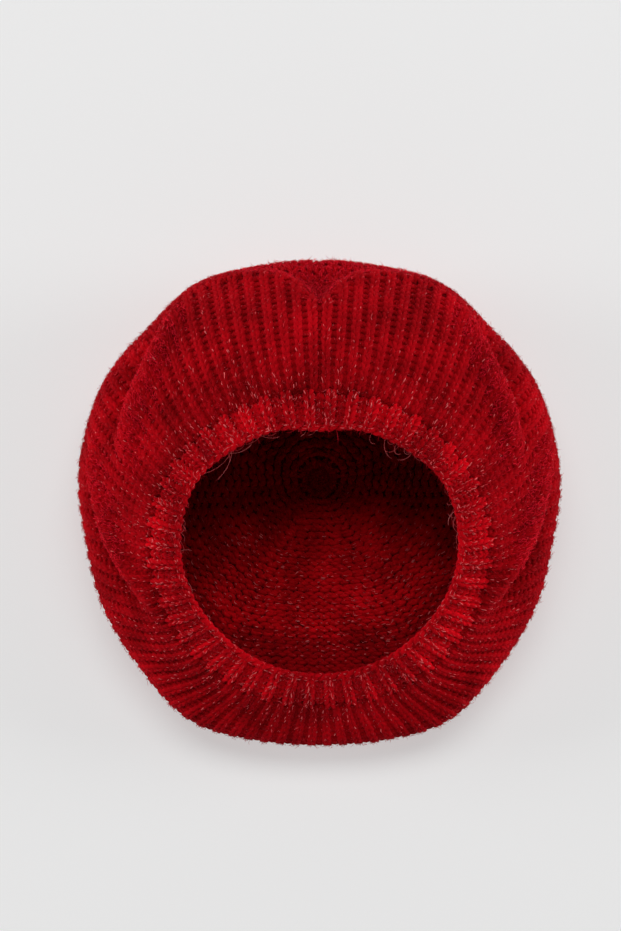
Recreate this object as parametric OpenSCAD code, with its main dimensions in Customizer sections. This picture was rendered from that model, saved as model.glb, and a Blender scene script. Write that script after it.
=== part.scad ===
// Knitted beret lying on its crown, with the head opening up and tilted to the front.
// The origin is under the middle of the outline, at the height of the crown's outer face.
// +Z is up, the front is -Y, and the back seam is at +Y.

/* [Head opening] */
// Radius of the head opening when nothing stretches it
opening_r = 74; // [70:1:79]
// Tilt of the opening's plane towards the front, in degrees
opening_tilt = 20; // [14:1:24]
// How far the opening's centre sits forward of the outline's centre
opening_forward = 29; // [22:1:32]
// Height of the opening's centre
opening_height = 78; // [72:1:86]

/* [Headband] */
// Width of the cast-on edge
edge_w = 6; // [5:0.5:7]
// Width of the ribbed band, from the cast-on edge to the increase course
band_w = 14; // [12:0.5:16]
// Drop of the band's face from its inner to its outer side
band_drop = 4.5; // [3:0.5:6]
// Thickness of the ribbed band
band_t = 7; // [5:0.5:8]
// Width of the course where the stitches double
increase_w = 4; // [3:0.5:5]

/* [Body] */
// Radius of the outline between its shoulders
side_r = 138; // [134:1:144]
// Thickness of the knitted fabric
fabric_t = 5; // [4:0.5:6]
// Height of the widest line at the back
side_h_back = 38; // [32:1:44]
// Height of the widest line at the front
side_h_front = 24; // [20:1:30]

/* [Crown] */
// Radius of the flat crown
crown_r = 92; // [86:1:98]
// How far the crown's centre sits behind the outline's centre
crown_back = 12; // [8:1:16]
// Outer radius of the gathered last loops
gather_r = 12; // [10:1:14]

/* [Yarn] */
// Diameter of the knitting yarn, as it lies in a loop
yarn_d = 2.6; // [2.2:0.1:3]

/* [Hidden] */
$fn = 128;

wool = "firebrick";
wool_dark = "darkred";

steps_round = 96;        // sections of a shell around the hat
step_deg = 360 / steps_round;
gap = 0.3;               // keeps a faceted shell clear of its round neighbour
side_share = 0.72;       // part of the underside's curve that the underside node covers

// Radii of the rings about the opening's axis, from the mouth outwards
band_r0 = opening_r + edge_w;
increase_r0 = band_r0 + band_w;
body_r0 = increase_r0 + increase_w;
body_slope = 30;         // slope of the band's outer side against the opening's plane
increase_drop = band_drop + 1;

// The outline has two pairs of shoulders and a waist on each side: [angle from the back, rise, spread]
outline_bumps = [[30, 6, 12], [60, 4, 13], [105, -3, 15], [150, 6, 12]];

function bump(d, spread) = exp(-pow(d / spread, 2));
function back_angle(a) = abs(a > 180 ? a - 360 : a);
function outline_r(a) =
    side_r + bump_sum(back_angle(a), len(outline_bumps) - 1);
function bump_sum(b, i) =
    i < 0 ? 0 : outline_bumps[i][1] * bump(b - outline_bumps[i][0], outline_bumps[i][2]) + bump_sum(b, i - 1);
function side_h(a) = (side_h_back + side_h_front) / 2 + (side_h_back - side_h_front) / 2 * cos(a);

// A point at radius r and height h about the opening's axis, at an angle from the back
function on_opening(r, h, a) = [
    r * sin(a),
    -opening_forward + r * cos(a) * cos(opening_tilt) - h * sin(opening_tilt),
    opening_height + r * cos(a) * sin(opening_tilt) + h * cos(opening_tilt)
];
function unit(v) = v / norm(v);
function bezier(p, u) =
    pow(1 - u, 3) * p[0] + 3 * pow(1 - u, 2) * u * p[1] + 3 * (1 - u) * u * u * p[2] + pow(u, 3) * p[3];

// Outer face of the underside at one angle: from the increase course out and down to the widest line
function start_point(a) = on_opening(body_r0 + gap, band_t / 2 - increase_drop, a);
function start_run(a) =
    on_opening(cos(body_slope), -sin(body_slope), a) - on_opening(0, 0, a);
function side_point(a) = [outline_r(a) * sin(a), outline_r(a) * cos(a), side_h(a)];
function under_curve(a) =
    let (s = start_point(a), e = side_point(a), reach = norm(e - s))
    [s, s + start_run(a) * reach * 0.36, e + [0, 0, reach * 0.36], e];

// Outer face of the side below the widest line: down and in to the edge of the flat crown
function crown_point(a, r) = [r * sin(a), crown_back + r * cos(a), 0];
function turn_curve(a) =
    let (s = side_point(a), e = crown_point(a, crown_r + gap), run = e - s)
    [s, s - [0, 0, side_h(a) * 0.6], e - [run[0], run[1], 0] * 0.62, e];

// Moves a point of a section inwards by the fabric's thickness, square to the run of the curve
function inward(run, out) =
    let (flat = unit([out[0], out[1], 0]), v = [run * flat, run[2]], l = norm(v))
    [flat[0] * v[1], flat[1] * v[1], -v[0]] / l;
function curve_run(p, u) = (bezier(p, min(1, u + 0.01)) - bezier(p, max(0, u - 0.01))) * 50;
function section(p, us, out) = concat(
    [for (u = us) bezier(p, u)],
    [for (i = [len(us) - 1:-1:0]) bezier(p, us[i]) + fabric_t * inward(curve_run(p, us[i]), out)]
);
function sweep_faces(rings, per_ring) = [
    for (i = [0:rings - 1], j = [0:per_ring - 1])
    let (k = (i + 1) % rings, m = (j + 1) % per_ring)
    [i * per_ring + j, i * per_ring + m, k * per_ring + m, k * per_ring + j]
];

// A ring-shaped shell through closed sections, one for each step around the hat
module ring_shell(sections) {
    n = len(sections[0]);
    polyhedron([for (s = sections) each s], sweep_faces(len(sections), n), convexity = 6);
}

// A round yarn of diameter d through a list of points, with flat ends
module yarn(points, d, sides = 8) {
    last = len(points) - 1;
    rings = [
        for (i = [0:last])
        let (
            run = unit(points[min(last, i + 1)] - points[max(0, i - 1)]),
            side = unit(cross(run, [1, 0, 0.02])),
            up = cross(side, run)
        )
        each [for (k = [0:sides - 1]) points[i] + d / 2 * (side * cos(k * 360 / sides) + up * sin(k * 360 / sides))]
    ];
    tube = [
        for (i = [0:last - 1], k = [0:sides - 1])
        let (m = (k + 1) % sides)
        [i * sides + k, i * sides + m, (i + 1) * sides + m, (i + 1) * sides + k]
    ];
    ends = [[for (k = [sides - 1:-1:0]) k], [for (k = [0:sides - 1]) last * sides + k]];
    polyhedron(rings, concat(tube, ends), convexity = 4);
}

// Places a ring that is drawn about +Z on the tilted opening
module at_opening() {
    translate([0, -opening_forward, opening_height]) rotate([opening_tilt, 0, 0]) children();
}

// Half of the domed section of a ring: points over a width w, from a height h0 to h1, bulging by rise
function domed(r, w, h0, h1, rise, steps) = [
    for (i = [0:steps]) let (u = i / steps) [r + w * u, h0 + (h1 - h0) * u * u + rise * sin(180 * u)]
];
function reversed(l) = [for (i = [len(l) - 1:-1:0]) l[i]];
module domed_ring(r, w, top0, top1, low0, low1, rise) {
    at_opening()
    rotate_extrude()
    polygon(concat(domed(r, w, top0, top1, rise, 8), reversed(domed(r, w, low0, low1, -rise / 2, 8))));
}

// The chain of cast-on stitches around the mouth, with the wall that meets the head
module cast_on_edge() {
    color(wool)
    domed_ring(opening_r, edge_w, band_t / 2 - 1, band_t / 2 - 1, 1 - band_t / 2, 1 - band_t / 2, 1);
}

// The ribbed headband, a flat ring that slopes off outwards
module ribbed_band() {
    color(wool)
    domed_ring(band_r0, band_w, band_t / 2, band_t / 2 - band_drop, -band_t / 2, -band_t / 2 - band_drop, 1);
}

// The course that doubles the stitches, a shallow groove between the band and the body
module increase_course() {
    half = fabric_t / 2;
    mid = (band_t - fabric_t) / 2;
    color(wool_dark)
    domed_ring(
        increase_r0, increase_w,
        mid + half - band_drop - 0.5, mid + half - increase_drop,
        mid - half - band_drop - 0.5, mid - half - increase_drop, 0
    );
}

// The ribbed body that faces up, from the band to just above the widest line
module ribbed_underside() {
    us = [for (i = [0:6]) side_share * i / 6];
    color(wool)
    ring_shell([
        for (i = [0:steps_round - 1])
        let (a = i * step_deg, p = under_curve(a))
        section(p, us, p[3] - p[0])
    ]);
}

// The widest part, which turns down and under to the flat crown
module crown_side() {
    upper = [for (i = [0:2]) side_share + (1 - side_share) * i / 3];
    lower = [for (i = [0:5]) i / 5];
    color(wool)
    ring_shell([
        for (i = [0:steps_round - 1])
        let (
            a = i * step_deg, p = under_curve(a), q = turn_curve(a),
            s = section(p, upper, p[3] - p[0]), t = section(q, lower, q[0] - q[3])
        )
        concat(
            [for (k = [0:2]) s[k]], [for (k = [0:5]) t[k]],
            [for (k = [6:11]) t[k]], [for (k = [3:5]) s[k]]
        )
    ]);
}

// The flat crown, where the ribs run together
module crown() {
    color(wool)
    translate([0, crown_back, 0])
    rotate_extrude()
    translate([gather_r, 0])
    square([crown_r - gather_r, fabric_t]);
}

// The last loops, drawn up into a thick ring
module crown_gather() {
    inner = yarn_d * 1.8;
    color(wool_dark)
    translate([0, crown_back, 0])
    rotate_extrude()
    polygon(concat(
        [[inner, 0.4], [gather_r, 0.4]],
        reversed(domed(inner, gather_r - inner, fabric_t + 0.6, fabric_t, 0.8, 8))
    ));
}

// The yarn that draws the last loops together and is fastened off inside
module closing_yarn() {
    loop_r = yarn_d * 1.25;
    color(wool_dark)
    translate([0, crown_back, fabric_t / 2 + 0.4]) {
        rotate_extrude() translate([loop_r, 0]) circle(d = yarn_d, $fn = 32);
        sphere(d = 2 * loop_r - yarn_d * 0.4, $fn = 48);
    }
}

// Points on the inner face along the back, from the band to the gathered crown
function seam_points(lift) =
    let (p = under_curve(0), q = turn_curve(0), depth = fabric_t + lift)
    concat(
        [for (h = [2, 11, 19]) on_opening(opening_r + h, -band_t / 2 - 1.2 - lift - band_drop * pow(h / 19, 2), 0)],
        [for (u = [0.06:0.1:0.96]) bezier(p, u) + depth * inward(curve_run(p, u), [0, 1, 0])],
        [for (u = [0.02:0.14:0.9]) bezier(q, u) + depth * inward(curve_run(q, u), [0, 1, 0])],
        [for (y = [crown_r + 2:-14:gather_r + 4]) [0, crown_back + y, depth]]
    );

// The sewing yarn of the back seam, on the inside of the fabric
module seam_yarn() {
    color(wool_dark) yarn(seam_points(yarn_d / 2 + gap), yarn_d);
}

// The two fastened ends: one beside the seam at the band, and one on the crown
module end_tails() {
    tail_h = fabric_t + yarn_d / 2 + gap;
    color(wool_dark) {
        yarn([for (i = [0:5]) [6 + i * 3.4, crown_back + 15 + 5 * sin(i * 50), tail_h]], yarn_d);
        yarn(
            [for (i = [0:5]) on_opening(opening_r + 3 + i * 2.4, -band_t / 2 - yarn_d - 0.2 * i, 5 + i * 1.6)],
            yarn_d
        );
    }
}

cast_on_edge();
ribbed_band();
increase_course();
ribbed_underside();
crown_side();
crown();
crown_gather();
closing_yarn();
seam_yarn();
end_tails();
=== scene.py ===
import math

import bpy
import numpy as np
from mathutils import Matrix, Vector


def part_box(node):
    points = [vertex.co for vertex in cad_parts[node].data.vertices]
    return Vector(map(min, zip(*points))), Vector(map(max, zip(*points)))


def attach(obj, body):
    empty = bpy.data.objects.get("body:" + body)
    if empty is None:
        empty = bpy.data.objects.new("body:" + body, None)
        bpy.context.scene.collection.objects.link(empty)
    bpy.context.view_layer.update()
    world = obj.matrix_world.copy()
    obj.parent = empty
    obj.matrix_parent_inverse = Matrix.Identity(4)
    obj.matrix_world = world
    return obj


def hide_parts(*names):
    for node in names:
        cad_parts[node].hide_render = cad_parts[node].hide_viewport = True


# A knitted beret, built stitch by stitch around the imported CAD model. Lengths are in millimetres
# until a mesh is made. Angles run round the hat in degrees, from the back seam at 0, and a course
# is one knitted round: courses below 0 are the headband, and CENTRE_COURSE is the crown's middle.
# Every piece draws from the one seeded rng, so the order in which pieces are made is part of the look.

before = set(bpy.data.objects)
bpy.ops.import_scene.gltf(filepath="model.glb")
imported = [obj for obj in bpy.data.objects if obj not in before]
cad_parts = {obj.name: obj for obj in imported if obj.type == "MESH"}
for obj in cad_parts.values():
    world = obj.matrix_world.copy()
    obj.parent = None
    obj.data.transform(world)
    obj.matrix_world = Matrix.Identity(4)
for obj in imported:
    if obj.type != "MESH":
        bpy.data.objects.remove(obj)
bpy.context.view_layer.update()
rng = np.random.default_rng(7)
MM = 0.001

# ---------------------------------------------------------------- camera
CAMERA_RISE = 1345.0          # it looks straight down on the hat
CAMERA_X, CAMERA_Y = -5.1, 20.8
VIEW_HEIGHT = 531.0           # what the frame takes in from top to bottom at VIEW_LEVEL
VIEW_LEVEL = 45.0
SENSOR_HEIGHT = 36.0


def add_camera():
    data = bpy.data.cameras.new("camera")
    data.sensor_fit = "VERTICAL"
    data.sensor_height = SENSOR_HEIGHT
    data.lens = SENSOR_HEIGHT * (CAMERA_RISE - VIEW_LEVEL) / VIEW_HEIGHT
    data.clip_start = 0.01
    camera = bpy.data.objects.new("camera", data)
    camera.location = (CAMERA_X * MM, CAMERA_Y * MM, CAMERA_RISE * MM)
    bpy.context.scene.collection.objects.link(camera)
    bpy.context.scene.camera = camera


# ---------------------------------------------------------------- the hat's shape, as in the CAD model
crown_low, crown_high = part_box("crown")
CROWN_R = (crown_high[0] - crown_low[0]) / MM / 2
CROWN_BACK = (crown_high[1] + crown_low[1]) / MM / 2
OPENING_TILT = math.radians(20.0)
OPENING_FORWARD = 29.0
OPENING_HEIGHT = 78.0
SIDE_R = 138.0                # the widest line, before its bumps
SIDE_H_BACK, SIDE_H_FRONT = 38.0, 24.0
BODY_R0, BODY_H0 = 98.3, -2.0      # where the body starts, about the opening's axis
BODY_SLOPE = math.radians(30.0)
# The widest line's departures from a circle: angle from the back, height and spread
OUTLINE_BUMPS = [(30, 6, 12), (60, 4, 13), (105, -3, 15), (150, 6, 12)]
# Handles of the outer face's two curves, as shares of the distance that each one covers
UNDER_HANDLE, TURN_DOWN_HANDLE, TURN_IN_HANDLE = 0.36, 0.6, 0.62
UNDER_POINTS, TURN_POINTS, CROWN_POINTS = 60, 40, 40
CENTRE_R = 3.0                # the last row runs round the crown's middle at this radius


def back_angle(deg):
    """Angle from the back seam, 0 to 180, whichever way round."""
    return np.abs((deg + 180.0) % 360.0 - 180.0)


def bump(x, middle, spread):
    """A smooth bump, 1 at its middle."""
    return np.exp(-((x - middle) / spread) ** 2)


def ease(low, high, x):
    """0 at low, 1 at high and a smooth step between. It falls instead where low is above high."""
    t = np.clip((x - low) / (high - low), 0, 1)
    return t * t * (3 - 2 * t)


def unit(v):
    return v / np.maximum(np.linalg.norm(v, axis=-1, keepdims=True), 1e-9)


def outline_r(deg):
    b = back_angle(deg)
    return SIDE_R + sum(rise * bump(b, at, spread) for at, rise, spread in OUTLINE_BUMPS)


def side_height(deg):
    middle = (SIDE_H_BACK + SIDE_H_FRONT) / 2
    return middle + (SIDE_H_BACK - SIDE_H_FRONT) / 2 * np.cos(np.radians(deg))


def on_opening(r, h, deg):
    """Points at radius r and height h about the tilted axis of the opening."""
    a = np.radians(deg)
    r, h, a = np.broadcast_arrays(r, h, a)
    c, s = math.cos(OPENING_TILT), math.sin(OPENING_TILT)
    return np.stack([
        r * np.sin(a),
        -OPENING_FORWARD + r * np.cos(a) * c - h * s,
        OPENING_HEIGHT + r * np.cos(a) * s + h * c,
    ], -1)


def bezier(points, u):
    p0, p1, p2, p3 = [p[:, None, :] for p in points]
    u = u[None, :, None]
    return (1 - u) ** 3 * p0 + 3 * (1 - u) ** 2 * u * p1 + 3 * (1 - u) * u ** 2 * p2 + u ** 3 * p3


def body_outer_face(deg):
    """The outer face from the increase course to the crown's middle: rows of points, one per angle."""
    a = np.radians(deg)
    flat = np.stack([np.sin(a), np.cos(a), 0 * a], -1)
    up = np.array([0.0, 0.0, 1.0])
    start = on_opening(BODY_R0, BODY_H0, deg)
    run = on_opening(math.cos(BODY_SLOPE), -math.sin(BODY_SLOPE), deg) - on_opening(0, 0, deg)
    height = side_height(deg)[:, None]
    side = flat * outline_r(deg)[:, None] + up * height
    reach = np.linalg.norm(side - start, axis=-1)[:, None]
    under = bezier([start, start + run * reach * UNDER_HANDLE, side + up * reach * UNDER_HANDLE, side],
                   np.linspace(0, 1, UNDER_POINTS)[:-1])
    crown_edge = flat * CROWN_R + [0, CROWN_BACK, 0]
    inward = crown_edge - side
    inward[:, 2] = 0
    turn = bezier([side, side - up * height * TURN_DOWN_HANDLE, crown_edge - inward * TURN_IN_HANDLE,
                   crown_edge], np.linspace(0, 1, TURN_POINTS)[:-1])
    radii = np.linspace(CROWN_R, CENTRE_R, CROWN_POINTS)
    crown = flat[:, None, :] * radii[None, :, None] + [0, CROWN_BACK, 0]
    return np.concatenate([under, turn, crown], 1)


# ---------------------------------------------------------------- the soft shapes of the cloth
# Distances in from the outline are those seen from above, except the fullness's, which run along
# the fabric. Angles are measured from the back seam, either way round.
# Folds of the body: the angle where a crest leaves the outline, the angle and the distance in where
# it ends, how it bends between them, its width and its height
FOLDS = [(31, 57, 25.5, 0.55, 5.6, 7.0), (69, 100, 21.5, 0.6, 4.8, 5.8)]
HOLLOW_OUT, HOLLOW_SHARE = 1.8, 1.15      # a hollow's place in crest widths, and depth in heights
HIGHLIGHT_BAND_IN, HIGHLIGHT_BAND_WIDTH = 3.5, 7.5            # the brushed band, where the crest fibres paint a highlight, lies this far inside a crest, this wide
# Fullness of the soft edge at the widest line: the front's, the back's and how far in it reaches,
# then the angle, rise and spread of each bump in it
FULL_FRONT, FULL_BACK, FULL_REACH = 4.6, 1.4, 16.0
FULLNESS = [(40, 0.4, 6), (50, 1.0, 6), (84, 2.8, 18), (122, -0.8, 12), (166, 0.8, 8)]
# The line at the back where the ribs end: a long low arc, with a V at the seam
ARC_DEPTH, ARC_REACH = 9.5, 32.0
V_DEPTH, V_WIDTH, V_POINTED = 19.0, 4.6, 1.3
NOTCH_LIP, NOTCH_LIP_WIDTH = 3.2, 3.2     # the raised lip along that line
NOTCH_DROP, NOTCH_STEP = 4.0, 6.0         # the drop past it, and how far in the step takes
V_DROP, V_DROP_SPREAD = 5.0, 7.0          # how much deeper it is in the V
NOTCH_END = (20, 32)                      # the angles between which all of it fades out
SEAM_GROOVE, SEAM_GROOVE_WIDTH = 1.2, 2.6
# How far the mouth's edge is drawn in at the seam, let out beside it and drawn in at the front
LIP_BACK, LIP_BACK_SPREAD = 4.2, 12.0
LIP_SIDE, LIP_SIDE_AT, LIP_SIDE_SPREAD = 3.0, 57, 18.0
LIP_FRONT, LIP_FRONT_FROM, LIP_FRONT_FULL = 4.9, 78, 138
PUCKER_DEPTH, PUCKER_FOLDS = 3.0, 24
# How many courses from the crown's middle the puckers begin, are deepest and start to end
PUCKER_FROM, PUCKER_FULL, PUCKER_TO = 13, 6, 2


def crest(deg, plan_in, start, end, reach, bend, width):
    """The hill along one fold's crest, and the hollow outside it, both from 0 to 1."""
    b = back_angle(deg)
    at = reach * np.clip((b - start) / (end - start), 0, 1.2) ** bend
    # It fades in where it leaves the outline and out past its end, and is flat at the very edge
    present = ease(start - 3, start + 9, b) * (1 - ease(end, end + 16, b))
    hill = bump(plan_in - at, 0, width) * ease(2, 9, plan_in)
    hollow = bump(plan_in - at, -HOLLOW_OUT * width, width) * ease(3, 10, plan_in)
    return present * hill, present * hollow


def fold_height(deg, plan_in):
    """Height of the folds of the soft body over its smooth shape."""
    total = 0.0
    for *path, height in FOLDS:
        hill, hollow = crest(deg, plan_in, *path)
        total = total + height * (hill - HOLLOW_SHARE * hollow)
    return total


def rib_end(b):
    """How far in from the outline the ribs end, at an angle from the back."""
    arc = ARC_DEPTH * (1 - np.clip(b / ARC_REACH, 0, 1))
    return arc + V_DEPTH * np.exp(-(b / V_WIDTH) ** V_POINTED)


def near_back(b):
    """1 at the back, fading out where the line of the ribs' end meets the outline."""
    return 1 - ease(*NOTCH_END, b)


def seam_notch(deg, plan_in):
    """Past the ribs' end the back drops by a step, deepest in the V that the seam pulls in."""
    b = back_angle(deg)
    end = rib_end(b)
    present = near_back(b) * ease(0.3, 4, plan_in)
    lip = NOTCH_LIP * bump(plan_in - end, 1.5, NOTCH_LIP_WIDTH)
    drop = NOTCH_DROP + V_DROP * bump(b, 0, V_DROP_SPREAD)
    return present * (lip - drop * ease(end, end - NOTCH_STEP, plan_in))


def brushed_and_highlight_share(deg, plan_in):
    """Where the cloth is brushed smooth and the crest fibres paint a highlight: on the crests' inner
    sides, and past the ribs' end.
    """
    b = back_angle(deg)
    past = near_back(b) * ease(rib_end(b) + 3.0, rib_end(b) - 2.0, plan_in) * ease(-12, 0, plan_in)
    brushed_highlight_band = sum(crest(deg, plan_in - HIGHLIGHT_BAND_IN, *fold[:4], HIGHLIGHT_BAND_WIDTH)[0] for fold in FOLDS)
    return np.clip(0.55 * past + brushed_highlight_band, 0, 1)


def fill_out(deg, mm_in):
    """Fullness of the soft edge at the widest line, most at the front and least beside the back."""
    b = back_angle(deg)
    amount = FULL_FRONT * ease(92, 116, b) + FULL_BACK * (1 - ease(10, 34, b))
    for at, rise, spread in FULLNESS:
        amount = amount + rise * bump(b, at, spread)
    return amount * bump(mm_in, 0, FULL_REACH)


def seam_groove(deg, course):
    across = back_angle(deg) * math.radians(SIDE_R)
    return -SEAM_GROOVE * bump(across, 0, SEAM_GROOVE_WIDTH) * np.clip(course / 3.0, 0.5, 1)


def pucker(deg, course):
    """Short radial folds where the last courses are drawn together."""
    begun = ease(CENTRE_COURSE - PUCKER_FROM, CENTRE_COURSE - PUCKER_FULL, course)
    gathered = begun * (1 - ease(CENTRE_COURSE - PUCKER_TO, CENTRE_COURSE, course))
    return -PUCKER_DEPTH * gathered * (0.5 + 0.5 * np.cos(np.radians(PUCKER_FOLDS * deg)))


def lip_draw(deg):
    """How far the mouth's edge is drawn in: flat at the back seam, wide beside it, closer in front."""
    b = back_angle(deg)
    seam = LIP_BACK * bump(b, 0, LIP_BACK_SPREAD)
    beside = LIP_SIDE * bump(b, LIP_SIDE_AT, LIP_SIDE_SPREAD)
    return seam - beside + LIP_FRONT * ease(LIP_FRONT_FROM, LIP_FRONT_FULL, b)


def rib_relief(b, course, plan_in, brushed_and_highlit):
    """How far the ribs stand out, from 0 to 1: less beside the band, on the sides and where the
    cloth is brushed, and next to nothing past the line where they end."""
    side = ease(45, 75, b)
    strength = (1 - 0.2 * side) * (0.35 + 0.65 * ease(0, 9, course)) * (1 - 0.4 * brushed_and_highlit)
    rim = np.maximum(6 - 2.5 * side, rib_end(b) * (1 - ease(24, 34, b)))
    return strength * (1 - (0.95 - 0.1 * side) * ease(rim, rim - 5 + 1.5 * side, plan_in))


# ---------------------------------------------------------------- courses laid over the shape
BAND_COURSES = 6
RIB_COURSES = 20
CENTRE_COURSE = 51
PLAIN_PITCH = 1.28            # height of a plain course against a ribbed one
SUBSTEPS = 8                  # rows of the lookup tables in each course
ANGLES = 1152                 # columns of the lookup tables
BAND_R_IN, BAND_R_OUT = 79.0, 97.5
BAND_FLAT_R = 80.0            # outside this radius the band rolls over
BAND_ROLL, BAND_DROP = 14.0, 4.5   # across this width it drops by this much
RIB_DEPTH_OFFSET = 3.1        # from the outer face in to the middle of the ribbed fabric
PLAIN_DEPTH_OFFSET = 2.8      # the same for the plain crown
DEPTH_FADE = 8                # courses over which the one becomes the other
FACE_SMOOTHING, TABLE_SMOOTHING = 6, 8


def face_normals(grid):
    """Outward normals of a closed grid of points, angles by rows."""
    around = np.roll(grid, -1, 0) - np.roll(grid, 1, 0)
    along = np.gradient(grid, axis=1)
    return unit(np.cross(around, along))


def lengths_along(rows):
    """How far along its own row each point lies."""
    steps = np.linalg.norm(np.diff(rows, axis=1), axis=-1)
    return np.concatenate([np.zeros((len(rows), 1)), np.cumsum(steps, 1)], 1)


def resample(rows, fractions):
    """Each row of points again, at the same fractions of its own length."""
    length = lengths_along(rows)
    length /= length[:, -1:]
    out = np.empty((len(rows), len(fractions), 3))
    for i, (row, l) in enumerate(zip(rows, length)):
        for k in range(3):
            out[i, :, k] = np.interp(fractions, l, row[:, k])
    return out


def smooth_rows(grid, rounds):
    for _ in range(rounds):
        grid[:, 1:-1] = (grid[:, :-2] + 2 * grid[:, 1:-1] + grid[:, 2:]) / 4
    return grid


def soften(lift):
    """The folds' heights with their creases rounded, along and across the fabric."""
    for _ in range(2):
        lift = (np.roll(lift, 4, 0) + lift + np.roll(lift, -4, 0)) / 3
        padded = np.pad(lift, ((0, 0), (3, 3)), mode="edge")
        lift = (padded[:, :-6] + lift + padded[:, 6:]) / 3
    return lift


def course_fractions():
    """How far along the fabric each row of the table lies, from 0 at the increase course to 1."""
    c = np.arange(CENTRE_COURSE * SUBSTEPS + 1) / SUBSTEPS
    at = np.minimum(c, RIB_COURSES) + np.maximum(c - RIB_COURSES, 0) * PLAIN_PITCH
    return at / at[-1]


def band_rows(deg):
    """The headband's part of the surface, from the mouth's edge to the increase course."""
    r = np.linspace(BAND_R_IN, BAND_R_OUT, BAND_COURSES * SUBSTEPS + 1)[:-1]
    share = (r - BAND_FLAT_R).clip(0) / BAND_ROLL
    drawn = lip_draw(deg)[:, None] * (BAND_R_OUT - r) / (BAND_R_OUT - BAND_R_IN)
    return on_opening(r - drawn, -BAND_DROP * share ** 2, deg[:, None])


def distances_in(outer):
    """How far in from the widest line each point lies, along the fabric and as seen from above.
    Below that line both are the distance along the fabric, and negative."""
    plan = np.linalg.norm(outer[..., :2], axis=-1)
    widest = np.argmax(plan, axis=1)
    length = lengths_along(outer)
    mm_in = length[np.arange(ANGLES), widest][:, None] - length
    return mm_in, np.where(mm_in > 0, plan.max(1)[:, None] - plan, mm_in)


def build_tables():
    """Tables by angle and course: the fabric's middle surface, its normals, how far the ribs stand
    out, and where the cloth is brushed and the crest fibres paint a highlight."""
    deg = np.arange(ANGLES) * 360.0 / ANGLES
    column = deg[:, None]
    outer = smooth_rows(resample(body_outer_face(deg), course_fractions()), FACE_SMOOTHING)
    course = np.arange(outer.shape[1]) / SUBSTEPS
    plain = np.clip((course - RIB_COURSES) / DEPTH_FADE, 0, 1)
    depth = RIB_DEPTH_OFFSET + (PLAIN_DEPTH_OFFSET - RIB_DEPTH_OFFSET) * plain
    mm_in, plan_in = distances_in(outer)
    lift = fold_height(column, plan_in) + seam_notch(column, plan_in)
    lift = soften(lift + fill_out(column, mm_in))
    lift += pucker(column, course) + seam_groove(column, course)
    body = outer + face_normals(outer) * (lift - depth)[..., None]
    table = smooth_rows(np.concatenate([band_rows(deg), body], 1), TABLE_SMOOTHING)
    brushed_and_highlit = brushed_and_highlight_share(column, plan_in)
    ribs = rib_relief(back_angle(column), course, plan_in, brushed_and_highlit)
    band_shape = (ANGLES, BAND_COURSES * SUBSTEPS)
    ribs = np.concatenate([np.ones(band_shape), ribs], 1)
    brushed_and_highlit = np.concatenate([np.zeros(band_shape), brushed_and_highlit], 1)
    return table, face_normals(table), ribs[..., None], brushed_and_highlit[..., None]


surface, surface_normal, rib_strength, highlight_fibre_share = build_tables()


def lookup(table, deg, course):
    """Smoothly interpolated table entries at any angles and courses."""
    x = (np.asarray(deg) % 360.0) * ANGLES / 360.0
    y = np.clip((np.asarray(course) + BAND_COURSES) * SUBSTEPS, 0, table.shape[1] - 1.001)
    i, j = np.floor(x).astype(int) % ANGLES, np.floor(y).astype(int)
    fx, fy = (x - np.floor(x))[..., None], (y - j)[..., None]
    k = (i + 1) % ANGLES
    near = table[i, j] * (1 - fx) + table[k, j] * fx
    far = table[i, j + 1] * (1 - fx) + table[k, j + 1] * fx
    return near * (1 - fy) + far * fy


def on_fabric(deg, course, lift):
    """A point of the fabric, lifted off its middle surface, and the normal there."""
    normal = unit(lookup(surface_normal, deg, course))
    return lookup(surface, deg, course) + normal * np.asarray(lift)[..., None], normal


# ---------------------------------------------------------------- meshes
FLOOR_CLEAR = 0.3             # fibres under the crown are pressed flat on what it lies on
MM_PER_UV = 10.0              # a yarn's u is its length in centimetres


def make_mesh(name, verts, quads, tris, uvs, material, nodes):
    """A piece from arrays of corners, four-sided and three-sided faces, and one UV per face corner."""
    me = bpy.data.meshes.new(name)
    me.vertices.add(len(verts))
    me.vertices.foreach_set("co", (verts * MM).astype(np.float32).ravel())
    me.loops.add(quads.size + tris.size)
    corners = np.concatenate([quads.ravel(), tris.ravel()])
    me.loops.foreach_set("vertex_index", corners.astype(np.int32))
    starts = np.concatenate([np.arange(0, quads.size, 4), quads.size + np.arange(0, tris.size, 3)])
    me.polygons.add(len(starts))
    me.polygons.foreach_set("loop_start", starts.astype(np.int32))
    me.polygons.foreach_set("use_smooth", np.ones(len(starts), dtype=bool))
    layer = me.uv_layers.new(name="yarn")
    layer.data.foreach_set("uv", uvs.astype(np.float32).ravel())
    me.update()
    me.validate()
    me.materials.append(material)
    ob = bpy.data.objects.new(name, me)
    bpy.context.scene.collection.objects.link(ob)
    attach(ob, "root")
    if nodes:
        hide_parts(*nodes)
    return ob


def corner_uvs(*corners):
    """UVs of many faces in face order, from one pair of arrays, u and v, for each corner."""
    return np.stack([np.stack(corner, -1) for corner in corners], -2).reshape(-1, 2)


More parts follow.
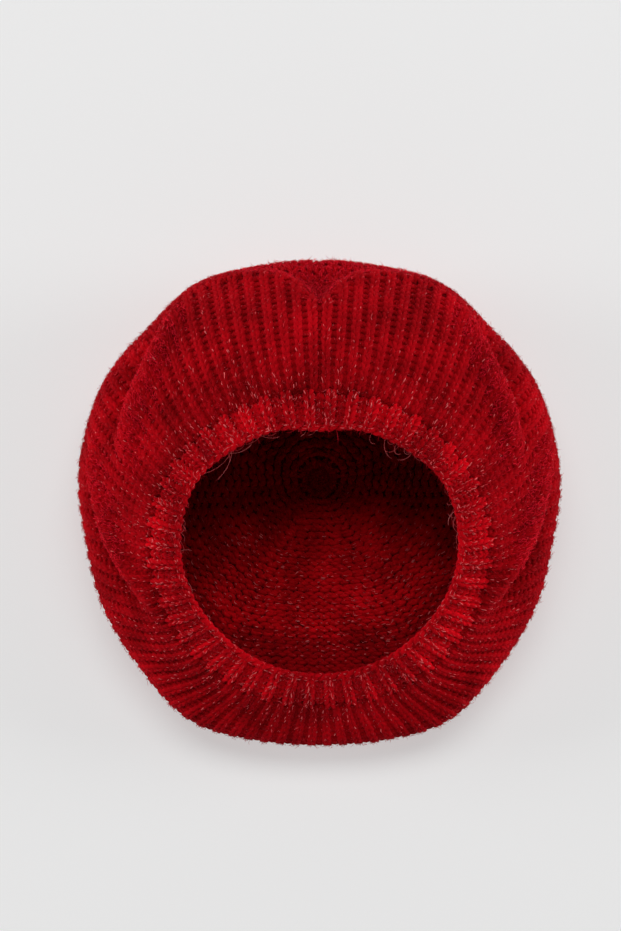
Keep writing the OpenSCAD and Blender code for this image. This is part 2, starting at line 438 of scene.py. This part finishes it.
def tube(points, normals, radius, sides, closed, start=0.0):
    """Corners, faces and UVs of a round yarn through points. u runs along it and v goes around it."""
    n = len(points)
    if closed:
        run = unit(np.roll(points, -1, 0) - np.roll(points, 1, 0))
    else:
        run = unit(np.gradient(points, axis=0))
    side = unit(np.cross(run, normals))
    up = np.cross(side, run)
    turn = np.arange(sides) * 2 * math.pi / sides
    radius = np.broadcast_to(radius, (n,))
    ring = side[:, None, :] * np.cos(turn)[None, :, None] + up[:, None, :] * np.sin(turn)[None, :, None]
    verts = (points[:, None, :] + ring * radius[:, None, None]).reshape(-1, 3)
    last = n if closed else n - 1
    i, k = np.meshgrid(np.arange(last), np.arange(sides), indexing="ij")
    i2, k2 = (i + 1) % n, (k + 1) % sides
    faces = np.stack([i * sides + k, i * sides + k2, i2 * sides + k2, i2 * sides + k], -1)
    step = np.linalg.norm(np.roll(points, -1, 0) - points, axis=-1)
    at = start + np.concatenate([[0], np.cumsum(step)]) / MM_PER_UV
    u0, u1 = at[i], at[i + 1]
    v0, v1 = k / sides, (k + 1) / sides
    return verts, faces.reshape(-1, 4), corner_uvs((u0, v0), (u0, v1), (u1, v1), (u1, v0))


class Batch:
    """Collects several meshes that become one piece."""

    def __init__(self):
        self.verts, self.quads, self.tris = [], [], []
        self.quad_uvs, self.tri_uvs = [], []
        self.count = 0

    def add(self, verts, quads, quad_uvs, tris=None, tri_uvs=None):
        self.verts.append(verts)
        self.quads.append(quads + self.count)
        self.quad_uvs.append(quad_uvs)
        if tris is not None:
            self.tris.append(tris + self.count)
            self.tri_uvs.append(tri_uvs)
        self.count += len(verts)

    def make(self, name, material, nodes=()):
        tris = np.concatenate(self.tris) if self.tris else np.zeros((0, 3), int)
        return make_mesh(name, np.concatenate(self.verts), np.concatenate(self.quads), tris,
                         np.concatenate(self.quad_uvs + self.tri_uvs), material, nodes)


def add_fibres(batch, paths, radius):
    """Closed three-sided spindles, one along each row of points, pointed at both ends. All corners
    of a fibre have the same UV, drawn at random, which gives it a shade of its own."""
    count, n = paths.shape[:2]
    paths[..., 2] = np.maximum(paths[..., 2], FLOOR_CLEAR)
    run = unit(np.gradient(paths, axis=1))
    side = unit(np.cross(run, rng.normal(size=(count, 1, 3))))
    up = np.cross(side, run)
    turn = np.arange(3) * 2 * math.pi / 3
    ring = side[:, 1:-1, None] * np.cos(turn)[:, None] + up[:, 1:-1, None] * np.sin(turn)[:, None]
    rings = paths[:, 1:-1, None] + ring * np.broadcast_to(radius, (count,))[:, None, None, None]
    verts = np.concatenate([rings.reshape(count, -1, 3), paths[:, :1], paths[:, -1:]], 1)
    per = verts.shape[1]
    base = np.arange(count)[:, None, None] * per
    i, k = np.meshgrid(np.arange(n - 3), np.arange(3), indexing="ij")
    i, k = i.ravel(), k.ravel()
    k2 = (k + 1) % 3
    quads = np.stack([i * 3 + k, i * 3 + k2, (i + 1) * 3 + k2, (i + 1) * 3 + k], -1)[None] + base
    j = np.arange(3)
    j2 = (j + 1) % 3
    last = (n - 3) * 3
    tris = np.concatenate([np.stack([j2, j, 0 * j + per - 2], -1),
                           np.stack([last + j, last + j2, 0 * j + per - 1], -1)])[None] + base
    shade = rng.uniform(0, 50, count)
    quad_uvs = np.broadcast_to(shade[:, None, None], (count, quads.shape[1] * 4, 2)).reshape(-1, 2)
    tri_uvs = np.broadcast_to(shade[:, None, None], (count, tris.shape[1] * 3, 2)).reshape(-1, 2)
    batch.add(verts.reshape(-1, 3), quads.reshape(-1, 4), quad_uvs, tris.reshape(-1, 3), tri_uvs)


# ---------------------------------------------------------------- stitches
YARN_R = 1.4
PLAIN_YARN_R = 1.5
SEGMENTS = 14                 # points along one stitch
SIDES = 6                     # of a yarn's section
COURSE_SHIFT, STRAND_SHIFT = 7.3, 5.0     # each yarn's u starts elsewhere, so its colours differ
RIB_STEEP = 2.6               # how sharply the yarn steps between a raised rib and a groove
RIB_BIAS = 1.4                # widens the raised ribs and narrows the grooves between them
WOBBLE = {"rib": 1, "plain": 1.8}         # unevenness of the stitches
BAND_STITCHES = 96
RIB_STITCHES = 192
# A stitch's loop height in courses, its sideways swing in stitches, how far ribs stand up and
# grooves sink, and how far the loop's head and feet turn out of the fabric
RIB_SHAPE = dict(loop_h=0.95, swing=0.25, relief=1.5, curl=0.8)
BAND_SHAPE = dict(loop_h=0.95, swing=0.23, relief=1.0, curl=0.9)
PLAIN_SHAPE = dict(loop_h=0.74, swing=0.27, relief=0.0, curl=1.2)
PLAIN_STITCH = 7.4            # width that the crown's stitches keep as their number falls
STITCH_STEP = 8               # that number falls by a multiple of this
EDGE_COURSE = -5.9            # the cast-on edge, then the pale hairs and the roots of the curls by it
EDGE_HAIR_COURSE, CURL_COURSE = -5.55, -5.8
PALE_R = (0.14, 0.30)
PALE_R_PLAIN = 1.4            # the pale hairs on the plain knit are this many times as thick
pale_hairs = Batch()          # those of every course become one piece


def course_yarn(course, stitches, kind, loop_h, swing, relief, curl):
    """One round of stitches, kind rib or plain: its points, normals and radii, and where it shows
    its raised face, from -1 in a groove to 1 on a rib."""
    n = stitches * SEGMENTS
    t = np.arange(n) * 2 * math.pi / SEGMENTS
    stitch = np.arange(n) // SEGMENTS
    face = np.clip(np.sin(t / 2) * RIB_STEEP + RIB_BIAS, -1, 1) if kind == "rib" else np.ones(n)
    wobble = rng.normal(0, WOBBLE[kind], (3, stitches))
    wobble = (wobble[:, stitch] + wobble[:, (stitch + 1) % stitches]) / 2
    deg = (t / (2 * math.pi) + swing * np.sin(2 * t) + 0.5 + 0.03 * wobble[0]) * 360.0 / stitches
    row = course - loop_h * np.cos(t) * (1 + 0.03 * wobble[1])
    strength = lookup(rib_strength, deg, row)[:, 0]
    lift = face * (relief * strength - curl * np.cos(2 * t)) + 0.1 * wobble[2]
    points, normals = on_fabric(deg, row, lift)
    middle_r = YARN_R if kind == "rib" else PLAIN_YARN_R
    radius = middle_r * (1 + 0.05 * np.sin(t * 0.37 + course) + 0.03 * wobble[1])
    return points, normals, radius, face


def add_course(batch, course, stitches, kind, **shape):
    """One round of stitches, and the pale hairs that lie along its raised parts."""
    points, normals, radius, face = course_yarn(course, stitches, kind, **shape)
    batch.add(*tube(points, normals, radius, SIDES, True, start=course * COURSE_SHIFT))
    outward = -1.0 if kind == "plain" else 1.0
    # Hairs start on the ribs outside, and on the tips of the purl bumps inside the crown, where they are
    # also a painted highlight
    turn = np.arange(len(face)) * 2 * math.pi / SEGMENTS
    proud = np.flatnonzero(face > 0.6 if kind == "rib" else np.cos(2 * turn) > 0.6)
    count = int(pale_share(course) * stitches)
    if not count:
        return
    first = rng.choice(proud, count)
    index = (first[:, None] + np.arange(4)[None, :]) % len(points)
    run = unit(np.roll(points, -1, 0) - np.roll(points, 1, 0))[index]
    normal = normals[index] * outward
    lean = rng.normal(0, 0.5, (count, 1, 1))
    out = unit(normal * np.cos(lean) + np.cross(run, normal) * np.sin(lean))
    clear = radius[index][..., None] + 0.1 + 0.25 * np.array([0, 1, 1, 0])[None, :, None]
    paths = points[index] + out * clear
    middle = paths.mean(1, keepdims=True)
    paths = middle + (paths - middle) * rng.uniform(0.35, 0.75, (count, 1, 1))
    thicker = PALE_R_PLAIN if kind == "plain" else 1.0
    add_fibres(pale_hairs, paths, rng.uniform(*PALE_R, count) * thicker)


def crown_stitches(course):
    """Stitches in a round of the crown, a number that falls in steps towards the middle."""
    deg = np.arange(0, 360, 5.0)
    points = lookup(surface, deg, np.full(len(deg), float(course)))
    length = np.linalg.norm(np.roll(points, -1, 0) - points, axis=-1).sum()
    return max(1, round(length / PLAIN_STITCH / STITCH_STEP)) * STITCH_STEP


def pale_share(course):
    """Pale hairs for each stitch of a course: many on the headband, fewer out over the body, and
    many again on the crown's middle courses, where on the purl bumps' tips they are partly pale flecks
    and partly a painted highlight."""
    if course < 0:
        return 2.2
    if course < RIB_COURSES:
        return 0.14 + 1.4 * math.exp(-course / 4.5)
    # The crown's middle courses: pale hairs on the purl bumps' tips, partly a painted highlight
    return 2.2 if 25 < course < 43 else 0.1


def knit(name, courses, nodes, material):
    batch = Batch()
    for c in courses:
        if c < 0:
            add_course(batch, c, BAND_STITCHES, "rib", **BAND_SHAPE)
        elif c < RIB_COURSES:
            add_course(batch, c, RIB_STITCHES, "rib", **RIB_SHAPE)
        else:
            add_course(batch, c, crown_stitches(c), "plain", **PLAIN_SHAPE)
    return batch.make(name, material, nodes)


def rope(batch, deg, course, lift, strands, twist, spread, radius, closed=True):
    """Twisted strands along a line of the fabric, at one course and lift or at one for each angle."""
    points, normals = on_fabric(deg, np.broadcast_to(course, deg.shape), np.broadcast_to(lift, deg.shape))
    if closed:
        run = unit(np.roll(points, -1, 0) - np.roll(points, 1, 0))
    else:
        run = unit(np.gradient(points, axis=0))
    side = unit(np.cross(run, normals))
    along = np.linspace(0, 2 * math.pi, len(points), endpoint=not closed)
    for k in range(strands):
        turn = twist * along + k * 2 * math.pi / strands
        strand = points + spread * (side * np.cos(turn)[:, None] + normals * np.sin(turn)[:, None])
        batch.add(*tube(strand, normals, radius, SIDES, closed, start=STRAND_SHIFT * k))


def spread_evenly(first, last, count):
    """Random angles and courses, spread evenly over the fabric between two courses."""
    rows = slice(int((first + BAND_COURSES) * SUBSTEPS), int((last + BAND_COURSES) * SUBSTEPS))
    part = surface[:, rows]
    wide = np.linalg.norm(np.roll(part, -1, 0) - part, axis=-1)
    long = np.linalg.norm(np.gradient(part, axis=1), axis=-1)
    total = np.cumsum((wide * long).ravel())
    cell = np.searchsorted(total, rng.uniform(0, total[-1], count))
    i, j = np.divmod(cell, part.shape[1])
    deg = (i + rng.uniform(0, 1, count)) * 360.0 / ANGLES
    return deg, (j + rng.uniform(0, 1, count)) / SUBSTEPS + first


def fuzz(batch, first, last, count, lift, reach, stand, radius, brushed_highlight_band=False):
    """Fibres that lie over the fabric between two courses, bowed, with one end standing off it.
    A negative lift puts them inside the hat. On the brushed highlight band they lie only where the cloth
    is brushed, as a painted highlight."""
    deg, course = spread_evenly(first, last, count)
    across_ribs = math.pi * (deg * RIB_STITCHES / 360.0 - 0.5)
    on_rib = np.sin(across_ribs) * RIB_STEEP + RIB_BIAS > 0.4
    keep = on_rib | (course > RIB_COURSES) | (course < 0) | (lift < 0)
    if brushed_highlight_band:
        keep = rng.uniform(0, 1, count) < lookup(highlight_fibre_share, deg, course)[:, 0]
    deg, course = deg[keep], course[keep]
    count = len(deg)
    place, normal = on_fabric(deg, course, np.full(count, lift) + rng.normal(0, 0.25, count))
    step, _ = on_fabric(deg + 0.5, course, np.full(count, lift))
    around = unit(step - place)
    along = np.cross(normal, around)
    # Most fibres lie along the ribs, pointing either way
    heading = math.pi / 2 + rng.normal(0, 0.6, count) + math.pi * rng.integers(0, 2, count)
    heading = heading[:, None]
    ahead = around * np.cos(heading) + along * np.sin(heading)
    aside = np.cross(normal, ahead)
    size = reach * rng.uniform(0.5, 1.3, count)[:, None, None]
    t = np.linspace(0, 1, 4)[None, :, None]
    bow = rng.normal(0, 0.35, count)[:, None, None]
    rise = (stand * rng.exponential(0.5, count))[:, None, None] * math.copysign(1, lift)
    paths = place[:, None] + ahead[:, None] * t * size + aside[:, None] * bow * size * t * (1 - t) * 2
    paths = paths + normal[:, None] * rise * t ** 1.5
    add_fibres(batch, paths, radius * rng.uniform(0.7, 1.3, count))


def curls(batch, first_deg, last_deg, count, size):
    """Long loose hairs that curl in over the opening from its edge."""
    deg = rng.uniform(first_deg, last_deg, count)
    place, normal = on_fabric(deg, np.full(count, CURL_COURSE), np.full(count, 0.5))
    centre = on_opening(0, 0, 0.0)
    inward = unit(centre - place)
    inward -= normal * (inward * normal).sum(-1, keepdims=True) * 0.8
    aside = np.cross(normal, inward)
    t = np.linspace(0, 1, 9)[None, :, None]
    long = size * rng.uniform(0.5, 1.2, count)[:, None, None]
    turn = rng.choice([-1.0, 1.0], count)[:, None, None] * rng.uniform(1.2, 3.6, (count, 1, 1))
    lean = rng.normal(0, 0.5, (count, 1, 1))
    # Each hair is an arc of a circle that leans to one side, rises at first and then droops
    sweep = inward[:, None] * np.sin(turn * t) + aside[:, None] * (1 - np.cos(turn * t))
    paths = place[:, None] + long / turn * sweep
    paths = paths + aside[:, None] * lean * long * t
    paths = paths + normal[:, None] * (1.5 * t - 4.0 * t * t * rng.uniform(0, 1, (count, 1, 1)))
    add_fibres(batch, paths, 0.11)


def edge_hairs(batch):
    """Short pale hairs laid along the cast-on edge, one for each of its stitches."""
    count = BAND_STITCHES
    deg = (np.arange(count) + rng.uniform(0.3, 0.7, count)) * 360.0 / count
    half = rng.uniform(0.9, 1.6, count)
    line = deg[:, None] + half[:, None] * np.array([-1.0, -0.4, 0.4, 1.0])
    lift = np.full(line.shape, 2.5) - 0.5 * np.array([1, 0, 0, 1])
    paths, _ = on_fabric(line, np.full(line.shape, EDGE_HAIR_COURSE), lift)
    add_fibres(batch, paths, rng.uniform(0.18, 0.34, count))


FELT_ANGLES = 288
FELT_ROWS = 2                 # rows of the felt in each course
FELT_THICK = 0.8
FELT_U, FELT_V = 0.25, 0.16   # one face of the felt in its UVs


def felt_and_shade_sheet(name, first, last, material):
    """The matted fibre between the loops, a thin closed layer in the middle of the fabric, and a painted
    shade: its wool is dark where the gaps show it.
    """
    courses = np.linspace(first, last, int((last - first) * FELT_ROWS) + 1)
    deg = np.arange(FELT_ANGLES) * 360.0 / FELT_ANGLES
    grid_deg, grid_course = np.meshgrid(deg, courses, indexing="ij")
    outer, inner = [on_fabric(grid_deg, grid_course, np.full(grid_deg.shape, side * FELT_THICK / 2))[0]
                    for side in (1, -1)]
    section = np.concatenate([outer, inner[:, ::-1]], 1)
    n, m = section.shape[:2]
    i, k = np.meshgrid(np.arange(n), np.arange(m), indexing="ij")
    i2, k2 = (i + 1) % n, (k + 1) % m
    quads = np.stack([i * m + k, i2 * m + k, i2 * m + k2, i * m + k2], -1).reshape(-1, 4)
    u0, v0 = i * FELT_U, k * FELT_V
    u1, v1 = u0 + FELT_U, v0 + FELT_V
    batch = Batch()
    batch.add(section.reshape(-1, 3), quads, corner_uvs((u0, v0), (u1, v0), (u1, v1), (u0, v1)))
    return batch.make(name, material)


# ---------------------------------------------------------------- materials
TWIST = 1.1                   # turns of a yarn's twist in each centimetre
PLIES = 2


def node(tree, kind, **values):
    """A new shader node, with its named inputs or its properties set."""
    n = tree.nodes.new(kind)
    for key, value in values.items():
        if key in n.inputs:
            n.inputs[key].default_value = value
        else:
            setattr(n, key, value)
    return n


def maths(tree, operation, *terms):
    """The result of a Math node. Each term is a number or another node's output."""
    n = node(tree, "ShaderNodeMath", operation=operation)
    for socket, term in zip(n.inputs, terms):
        if isinstance(term, bpy.types.NodeSocket):
            tree.links.new(term, socket)
        else:
            socket.default_value = term
    return n.outputs[0]


def ramp(tree, fac, stops):
    """The colour of a ramp through two or more stops, each a position and a colour."""
    n = node(tree, "ShaderNodeValToRGB")
    for _ in stops[2:]:
        n.color_ramp.elements.new(0.5)
    for element, (position, colour) in zip(n.color_ramp.elements, stops):
        element.position = position
        element.color = (*colour, 1)
    tree.links.new(fac, n.inputs["Fac"])
    return n.outputs["Color"]


def stretched_noise(tree, space, scale, offset, **values):
    """Noise in a space that is scaled and moved first."""
    mapping = node(tree, "ShaderNodeMapping", Scale=scale, Location=offset)
    tree.links.new(space, mapping.inputs["Vector"])
    noise = node(tree, "ShaderNodeTexNoise", Scale=1.0, **values)
    tree.links.new(mapping.outputs[0], noise.inputs["Vector"])
    return noise.outputs["Fac"]


def shader_material(name, values):
    """A new material, its node tree and its shader, with the shader's own sockets set."""
    mat = bpy.data.materials.new(name)
    mat.use_nodes = True
    shader = mat.node_tree.nodes["Principled BSDF"]
    for key, value in values.items():
        shader.inputs[key].default_value = value
    return mat, mat.node_tree, shader


def wool(name, base, dark, pale, flecks):
    """Heathered wool: dyed fibre of uneven depth with pale flecks that run along the twist."""
    mat, tree, shader = shader_material(name, {
        "Roughness": 0.85,
        "Specular IOR Level": 0.03,
        "Sheen Weight": 0.30,
        "Sheen Roughness": 0.5,
        "Sheen Tint": (1.0, 0.01, 0.04, 1.0),
    })
    link = tree.links.new

    uv = node(tree, "ShaderNodeUVMap", uv_map="yarn")
    parts = node(tree, "ShaderNodeSeparateXYZ")
    link(uv.outputs["UV"], parts.inputs[0])
    twist = maths(tree, "MULTIPLY_ADD", parts.outputs["X"], TWIST, parts.outputs["Y"])
    fibre_space = node(tree, "ShaderNodeCombineXYZ")
    link(parts.outputs["X"], fibre_space.inputs["X"])
    link(twist, fibre_space.inputs["Y"])

    place = node(tree, "ShaderNodeTexCoord")
    patches = node(tree, "ShaderNodeTexNoise", Scale=45.0, Detail=3.0)
    link(place.outputs["Object"], patches.inputs["Vector"])
    fibres = stretched_noise(tree, fibre_space.outputs[0], (2.4, 9.0, 1.0), (0.0, 0.0, 0.0),
                             Detail=4.0, Roughness=0.6)
    streaks = stretched_noise(tree, fibre_space.outputs[0], (3.2, 7.0, 1.0), (13.7, 4.1, 0.0),
                              Detail=1.0)
    fleck_mask = node(tree, "ShaderNodeMapRange")
    fleck_mask.inputs["From Min"].default_value = 0.70 - flecks
    fleck_mask.inputs["From Max"].default_value = 0.80 - flecks
    link(streaks, fleck_mask.inputs["Value"])

    # The depth of the dye: large soft patches and fine fibres, about half of each
    fine_part = maths(tree, "MULTIPLY", fibres, 0.45)
    depth = maths(tree, "MULTIPLY_ADD", patches.outputs["Fac"], 0.55, fine_part)
    mix = node(tree, "ShaderNodeMix", data_type="RGBA")
    link(fleck_mask.outputs[0], mix.inputs[0])
    link(ramp(tree, depth, [(0.34, dark), (0.64, base)]), mix.inputs[6])
    mix.inputs[7].default_value = (*pale, 1)
    link(mix.outputs[2], shader.inputs["Base Color"])

    plies = maths(tree, "SINE", maths(tree, "MULTIPLY", twist, 2 * math.pi * PLIES))
    relief = maths(tree, "MULTIPLY_ADD", plies, 0.25, fibres)
    bumps = node(tree, "ShaderNodeBump", Strength=0.6, Distance=0.0006)
    link(relief, bumps.inputs["Height"])
    link(bumps.outputs["Normal"], shader.inputs["Normal"])
    return mat


def fibre_wool(name, low, high, sheen=0.0):
    """Single fibres, each a little different in colour."""
    mat, tree, shader = shader_material(name, {
        "Roughness": 0.7,
        "Specular IOR Level": 0.08,
        "Sheen Weight": sheen,
        "Sheen Roughness": 0.5,
        "Sheen Tint": (1.0, 0.02, 0.05, 1.0),
    })
    uv = node(tree, "ShaderNodeUVMap", uv_map="yarn")
    noise = node(tree, "ShaderNodeTexNoise", Scale=3.0, Detail=1.0)
    tree.links.new(uv.outputs["UV"], noise.inputs["Vector"])
    colour = ramp(tree, noise.outputs["Fac"], [(0.35, low), (0.65, high)])
    tree.links.new(colour, shader.inputs["Base Color"])
    return mat


# ---------------------------------------------------------------- stage, in metres and watts
FLOOR_REACH = 30.0
FLOOR_GREY = 0.6
FLOOR_GLOW = 0.40             # the floor is a lit table, which keeps the shadows faint
# The sky's brightness by height: like the far floor at the horizon, then a bright band, then dark
SKY = [(0.0, 0.52), (0.12, 0.95), (0.2, 0.95), (0.5, 0.06)]
LIGHT_DISTANCE = 5.0
KEY_ELEVATION = 59.0
KEY_WIDE, KEY_DEEP = 4.6, 2.0
KEY_POWER = 100.0
KEY_TARGET = (0, 0, 0.03)
SIDE_ELEVATION = 11.0         # the side lights are low, so they don't reach into the hat
SIDE_BACK = 0.8               # they stand this far behind it
SIDE_SIZE = 2.4
SIDE_POWER = 130.0
SIDE_TARGET = (0, 0, 0.05)


def add_floor():
    me = bpy.data.meshes.new("floor")
    r = FLOOR_REACH
    me.from_pydata([(-r, -r, 0), (r, -r, 0), (r, r, 0), (-r, r, 0)], [], [(0, 1, 2, 3)])
    floor = bpy.data.objects.new("floor", me)
    bpy.context.scene.collection.objects.link(floor)
    mat, _, _ = shader_material("floor_paper", {
        "Base Color": (FLOOR_GREY, FLOOR_GREY, FLOOR_GREY, 1),
        "Emission Color": (1.0, 1.0, 1.0, 1),
        "Emission Strength": FLOOR_GLOW,
        "Roughness": 0.9,
        "Specular IOR Level": 0.1,
    })
    me.materials.append(mat)


def add_area(name, place, target, wide, deep, power):
    """An area light, wide along the horizontal and deep across it."""
    data = bpy.data.lights.new(name, "AREA")
    data.shape = "ELLIPSE"
    data.size = wide
    data.size_y = deep
    data.energy = power
    light = bpy.data.objects.new(name, data)
    light.location = place
    bpy.context.scene.collection.objects.link(light)
    aim = np.array(target, float) - np.array(place, float)
    pitch = math.atan2(math.hypot(aim[0], aim[1]), -aim[2])
    light.rotation_euler = (pitch, 0, math.atan2(-aim[0], aim[1]))


def add_sky():
    """A plain sky that is bright only in a low band, so that it lights the hat from the sides."""
    world = bpy.data.worlds.new("studio")
    world.use_nodes = True
    tree = world.node_tree
    background = tree.nodes["Background"]
    place = node(tree, "ShaderNodeTexCoord")
    split = node(tree, "ShaderNodeSeparateXYZ")
    tree.links.new(place.outputs["Generated"], split.inputs[0])
    stops = [(height, (bright, bright, bright)) for height, bright in SKY]
    tree.links.new(ramp(tree, split.outputs["Z"], stops), background.inputs["Color"])
    background.inputs["Strength"].default_value = 1.0
    bpy.context.scene.world = world


def add_lights():
    """A soft key from high at the back, and a low light on each side."""
    rise, side_rise = math.radians(KEY_ELEVATION), math.radians(SIDE_ELEVATION)
    place = (0.0, LIGHT_DISTANCE * math.cos(rise), LIGHT_DISTANCE * math.sin(rise))
    add_area("key", place, KEY_TARGET, KEY_WIDE, KEY_DEEP, KEY_POWER)
    out, up = LIGHT_DISTANCE * math.cos(side_rise), LIGHT_DISTANCE * math.sin(side_rise)
    for name, hand in (("side_left", -1), ("side_right", 1)):
        add_area(name, (hand * out, SIDE_BACK, up), SIDE_TARGET, SIDE_SIZE, SIDE_SIZE, SIDE_POWER)


# ---------------------------------------------------------------- build
add_camera()
add_floor()
add_sky()
add_lights()
bpy.context.scene.view_settings.view_transform = "Standard"

BAND_WOOL = wool("band_wool", (0.78, 0.002, 0.009), (0.26, 0.0008, 0.003), (0.80, 0.16, 0.17), 0.06)
BODY_WOOL = wool("body_wool", (0.50, 0.0015, 0.006), (0.17, 0.0005, 0.0015), (0.60, 0.06, 0.07), 0.02)
CROWN_WOOL = wool("crown_wool", (0.78, 0.003, 0.010), (0.26, 0.0008, 0.002), (0.85, 0.10, 0.10), 0.02)
# Dark wool for the sheet between the loops: painted shade in the gaps, darker than the yarn
FELT_SHADE_WOOL = wool("felt_shade_wool", (0.16, 0.0008, 0.003), (0.08, 0.0004, 0.001), (0.20, 0.01, 0.012), 0.0)
FUZZ_WOOL = fibre_wool("fuzz_wool", (0.44, 0.002, 0.008), (0.62, 0.006, 0.02))
# Near-white red fibres for the fold crests: their colour is a painted highlight
CREST_HIGHLIGHT_WOOL = fibre_wool("crest_highlight_wool", (0.94, 0.006, 0.022), (1.0, 0.014, 0.045), 1.0)
PALE_WOOL = fibre_wool("pale_wool", (0.68, 0.03, 0.045), (0.85, 0.19, 0.19))

# The cloth: each piece's name, its first course and the one after its last, the CAD node that it
# replaces, its wool and its slot
KNITTED = [
    ("ribbed_band_knit", -BAND_COURSES, 0, "ribbed_band", BAND_WOOL, "band_wool"),
    ("increase_course_knit", 0, 1, "increase_course", BODY_WOOL, "body_wool"),
    ("underside_rows_a", 1, 6, "ribbed_underside", BODY_WOOL, "body_wool"),
    ("underside_rows_b", 6, 11, "ribbed_underside", BODY_WOOL, "body_wool"),
    ("underside_rows_c", 11, 16, "ribbed_underside", BODY_WOOL, "body_wool"),
    ("underside_rows_d", 16, RIB_COURSES, "ribbed_underside", BODY_WOOL, "body_wool"),
    ("crown_side_knit", RIB_COURSES, 29, "crown_side", BODY_WOOL, "body_wool"),
    ("crown_knit", 29, 50, "crown", CROWN_WOOL, "body_wool"),
]
for name, first, after, cad_node, material, slot in KNITTED:
    knit(name, range(first, after), [cad_node], material)
# The sheets between the loops: matted fibre that closes the gaps, dark as painted shade
felt_and_shade_sheet("felt_band_shade", -5.4, 0, FELT_SHADE_WOOL)
felt_and_shade_sheet("felt_body_shade", 0, CENTRE_COURSE, FELT_SHADE_WOOL)

# The yarns. A ring has one point for each column of the tables, or fewer near the crown's middle.
around = np.arange(ANGLES) * 360.0 / ANGLES
edge = Batch()
rope(edge, around, EDGE_COURSE, 0.6, strands=2, twist=48, spread=1.1, radius=YARN_R)
edge.make("cast_on_edge_chain", BAND_WOOL, ["cast_on_edge"])

gather = Batch()
rope(gather, around[::8], 49.8, 0.2, strands=2, twist=9, spread=1.2, radius=1.8)
gather.make("crown_gather_loops", BODY_WOOL, ["crown_gather"])

closing = Batch()
rope(closing, around[::8], 50.4, 0.2, strands=1, twist=0, spread=0.0, radius=PLAIN_YARN_R)
rope(closing, around[::16], 50.9, -0.5, strands=2, twist=3, spread=1.0, radius=2.7)
closing.make("closing_yarn_ring", BODY_WOOL, ["closing_yarn"])

SEAM_POINTS, TAIL_POINTS = 500, 40
seam = Batch()
rope(seam, np.zeros(SEAM_POINTS), np.linspace(-5, 48, SEAM_POINTS), -2.6, strands=1, twist=61,
     spread=0.8, radius=0.8, closed=False)
seam.make("seam_yarn_lacing", BODY_WOOL, ["seam_yarn"])

# The two woven-in ends: from and to an angle, from and to a course, and their lift off the fabric
TAILS = [((3, 6), (-4, 1), -3.2), ((20, 60), (47.5, 44), -3.0)]
tails = Batch()
for angles, courses, lift in TAILS:
    rope(tails, np.linspace(*angles, TAIL_POINTS), np.linspace(*courses, TAIL_POINTS), lift,
         strands=1, twist=0, spread=0.0, radius=1.1, closed=False)
tails.make("end_tails_yarn", BODY_WOOL, ["end_tails"])

# The fibres
pale_hairs.make("pale_hairs", PALE_WOOL)
# Fuzz over the outside: each piece's name, first and last course, and how many fibres it tries
FUZZ = [("fuzz_a", -6, 6, 9000), ("fuzz_b", 6, 14, 12000), ("fuzz_c", 14, 20, 13000),
        ("fuzz_d", 20, 28, 14000), ("fuzz_e", 28, 48, 6000)]
for name, first, last, count in FUZZ:
    batch = Batch()
    fuzz(batch, first, last, count, lift=2.3, reach=3.2, stand=0.8, radius=0.09)
    batch.make(name, FUZZ_WOOL)

# Pale fibres on the fold crests' inner sides and past the ribs' end: real fuzz, coloured as a painted
# highlight
crest_highlights = Batch()
fuzz(crest_highlights, 4, 24, 56000, lift=2.2, reach=4.2, stand=0.5, radius=0.11, brushed_highlight_band=True)
crest_highlights.make("fuzz_crests_highlight", CREST_HIGHLIGHT_WOOL)

inside = Batch()
fuzz(inside, 24, 48, 5000, lift=-2.2, reach=4.0, stand=0.8, radius=0.11)
fuzz(inside, -6, -4.5, 900, lift=2.0, reach=5.5, stand=3.0, radius=0.10)
inside.make("fuzz_inner", FUZZ_WOOL)

# Loose hairs over the mouth: the angles they start between, how many, and how long they are
CURLS = [(20, 42, 9, 15), (-42, -20, 9, 15), (66, 90, 8, 13), (-90, -66, 8, 13), (0, 360, 50, 7)]
loose = Batch()
for first_deg, last_deg, count, size in CURLS:
    curls(loose, first_deg, last_deg, count, size)
loose.make("loose_curls", PALE_WOOL)

strokes = Batch()
edge_hairs(strokes)
strokes.make("edge_strokes", PALE_WOOL)
